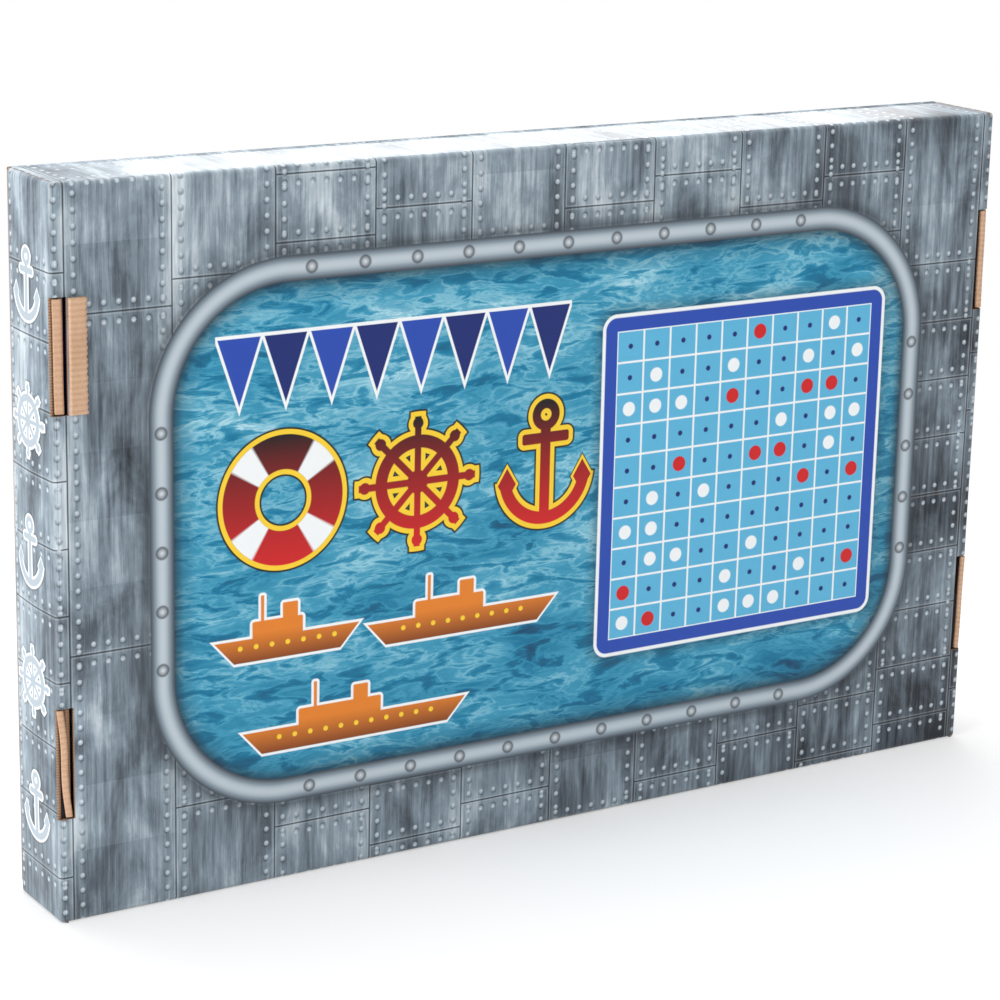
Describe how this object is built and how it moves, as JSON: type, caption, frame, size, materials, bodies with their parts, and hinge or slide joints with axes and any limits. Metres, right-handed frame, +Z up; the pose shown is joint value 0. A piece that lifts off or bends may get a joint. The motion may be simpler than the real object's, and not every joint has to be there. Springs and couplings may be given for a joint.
{
  "type": "fleet guessing game in a carton",
  "caption": "Flat printed corrugated carton with tuck lid and lock slots, holding folding plastic fleet guessing game cases with ships and pegs.",
  "frame": {"origin": "bottom centre of the bounding box, on the face that the carton stands on", "axes": "+Z up, +X along the long edge, -Y out of the base panel with the lock slots, +Y out of the lid"},
  "size_m": [0.4, 0.0378, 0.258],
  "materials": {
    "printed_board": "micro-flute board, printed steel-plate grey, gloss laminate",
    "kraft_board": "bare kraft liner",
    "blue_plastic": "moulded",
    "screen_plastic": "moulded, tinted",
    "side_card": "printed card",
    "pin_plastic": "moulded",
    "ship_plastic": "moulded",
    "white_plastic": "moulded",
    "red_plastic": "moulded"
  },
  "bodies": {
    "carton": {"base_panel": "printed_board", "top_wall": "printed_board", "bottom_wall": "printed_board", "right_outer_end": "printed_board", "left_outer_end": "printed_board", "right_inner_end": "kraft_board", "left_inner_end": "kraft_board", "top_right_corner_flap": "kraft_board", "top_left_corner_flap": "kraft_board", "bottom_right_corner_flap": "kraft_board", "bottom_left_corner_flap": "kraft_board", "lower_tray": "blue_plastic", "lower_hinge_pins": "pin_plastic", "lower_screen_lid": "blue_plastic", "lower_screen_panel": "screen_plastic", "lower_left_card": "side_card", "lower_right_card": "side_card", "lower_carrier": "ship_plastic", "lower_cruiser": "ship_plastic", "lower_submarine": "ship_plastic", "lower_destroyer_1": "ship_plastic", "lower_destroyer_2": "ship_plastic", "lower_destroyer_3": "ship_plastic", "lower_torpedo_boat_1": "ship_plastic", "lower_torpedo_boat_2": "ship_plastic", "lower_torpedo_boat_3": "ship_plastic", "lower_torpedo_boat_4": "ship_plastic", "lower_white_pegs": "white_plastic", "lower_red_pegs": "red_plastic", "upper_tray": "blue_plastic", "upper_hinge_pins": "pin_plastic", "upper_carrier": "ship_plastic", "upper_cruiser": "ship_plastic", "upper_submarine": "ship_plastic", "upper_destroyer_1": "ship_plastic", "upper_destroyer_2": "ship_plastic", "upper_destroyer_3": "ship_plastic", "upper_torpedo_boat_1": "ship_plastic", "upper_torpedo_boat_2": "ship_plastic", "upper_torpedo_boat_3": "ship_plastic", "upper_torpedo_boat_4": "ship_plastic", "upper_white_pegs": "white_plastic", "upper_red_pegs": "red_plastic"},
    "lid": {"carton_lid": "printed_board"},
    "tuck_flap": {"tuck_flap": "printed_board"},
    "slot_flap": {"slot_flap": "kraft_board"},
    "upper_case_lid": {"upper_screen_lid": "blue_plastic", "upper_screen_panel": "screen_plastic", "upper_left_card": "side_card", "upper_right_card": "side_card"}
  },
  "joints": [
    {"name": "lid_hinge", "type": "hinge", "parent": "carton", "child": "lid", "pos_m": [0, 0.01815, 0.25725], "axis": [1, 0, 0], "range_deg": [0, 130]},
    {"name": "tuck_flap_fold", "type": "hinge", "parent": "lid", "child": "tuck_flap", "pos_m": [0, 0.01815, 0.00255], "axis": [1, 0, 0], "range_deg": [0, 78]},
    {"name": "upper_case_hinge", "type": "hinge", "parent": "carton", "child": "upper_case_lid", "pos_m": [0, 0.01155, 0.2483], "axis": [1, 0, 0], "range_deg": [0, 104]},
    {"name": "slot_flap_fold", "type": "hinge", "parent": "carton", "child": "slot_flap", "pos_m": [-0.19325, -0.01815, 0.2], "axis": [0, 0, -1], "range_deg": [0, 100]}
  ],
  "couplings": [
    {"joint": "tuck_flap_fold", "follows": "lid_hinge", "ratio": 0.6},
    {"joint": "upper_case_hinge", "follows": "lid_hinge", "ratio": 0.8}
  ]
}
